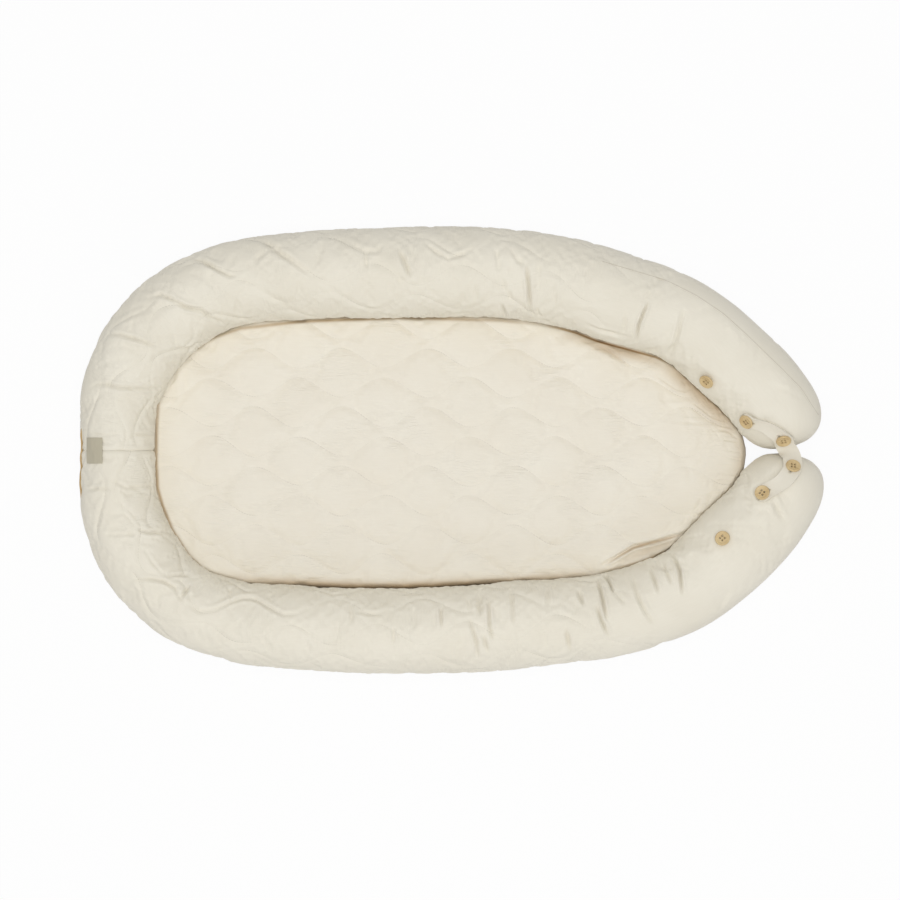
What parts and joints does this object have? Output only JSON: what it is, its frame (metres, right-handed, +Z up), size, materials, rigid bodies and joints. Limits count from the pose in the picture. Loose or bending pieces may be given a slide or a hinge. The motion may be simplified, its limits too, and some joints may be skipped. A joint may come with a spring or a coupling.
{
  "type": "infant lounger",
  "caption": "Oval padded infant lounger with a quilted bolster round a loose quilted mattress, and two arms at the foot joined by a buttoned cloth strap.",
  "frame": {"origin": "middle of the underside, centred on the whole part's box, on the surface that it lies on", "axes": "+X from the head to the foot, +Y towards the left arm, +Z up"},
  "size_m": [0.9082, 0.544, 0.1085],
  "materials": {
    "quilted_cotton": "matt washed cotton, wave quilted",
    "plain_cotton": "matt washed cotton",
    "filling": "loose fibre filling",
    "foam": "thin foam wadding",
    "wood": "turned, unvarnished",
    "thread": "waxed sewing thread",
    "label": "woven tape, bare",
    "zip": "woven zip tape with nylon teeth",
    "slider": "die cast"
  },
  "bodies": {
    "nest": {"base_panel": "plain_cotton", "left_bolster_cover": "quilted_cotton", "right_bolster_cover": "quilted_cotton", "bolster_filling": "filling", "woven_label": "label", "zip_tape": "zip"},
    "left_arm": {"left_arm_cover": "plain_cotton", "left_arm_filling": "filling", "left_button_1": "wood", "left_button_thread_1": "thread", "left_button_2": "wood", "left_button_thread_2": "thread", "left_button_3": "wood", "left_button_thread_3": "thread", "strap_fixed_half": "plain_cotton"},
    "right_arm": {"right_arm_cover": "plain_cotton", "right_arm_filling": "filling", "right_button_1": "wood", "right_button_thread_1": "thread", "right_button_2": "wood", "right_button_thread_2": "thread", "right_button_3": "wood", "right_button_thread_3": "thread"},
    "strap_end": {"strap_free_half": "plain_cotton"},
    "mattress": {"mattress_top_panel": "quilted_cotton", "mattress_core": "foam", "mattress_bottom_panel": "plain_cotton"},
    "zip_slider": {"zip_slider": "slider"}
  },
  "joints": [
    {"name": "left_arm_swing", "type": "hinge", "parent": "nest", "child": "left_arm", "pos_m": [0.2843, 0.2134, 0.05], "axis": [0, 0, 1], "range_deg": [0, 30], "deforming": ["strap_free_half"]},
    {"name": "right_arm_swing", "type": "hinge", "parent": "nest", "child": "right_arm", "pos_m": [0.2848, -0.2255, 0.05], "axis": [0, 0, -1], "range_deg": [0, 30], "deforming": ["strap_free_half"]},
    {"name": "strap_peel", "type": "hinge", "parent": "left_arm", "child": "strap_end", "pos_m": [0.4087, -0.0032, 0.0799], "axis": [-0.9235, -0.3836, 0], "range_deg": [0, 110], "deforming": ["strap_free_half"]},
    {"name": "mattress_lift", "type": "slide", "parent": "nest", "child": "mattress", "axis": [0, 0, 1], "range_m": [0, 0.15]},
    {"name": "zip_slide", "type": "slide", "parent": "nest", "child": "zip_slider", "axis": [0, -1, 0], "range_m": [0, 0.069]}
  ]
}
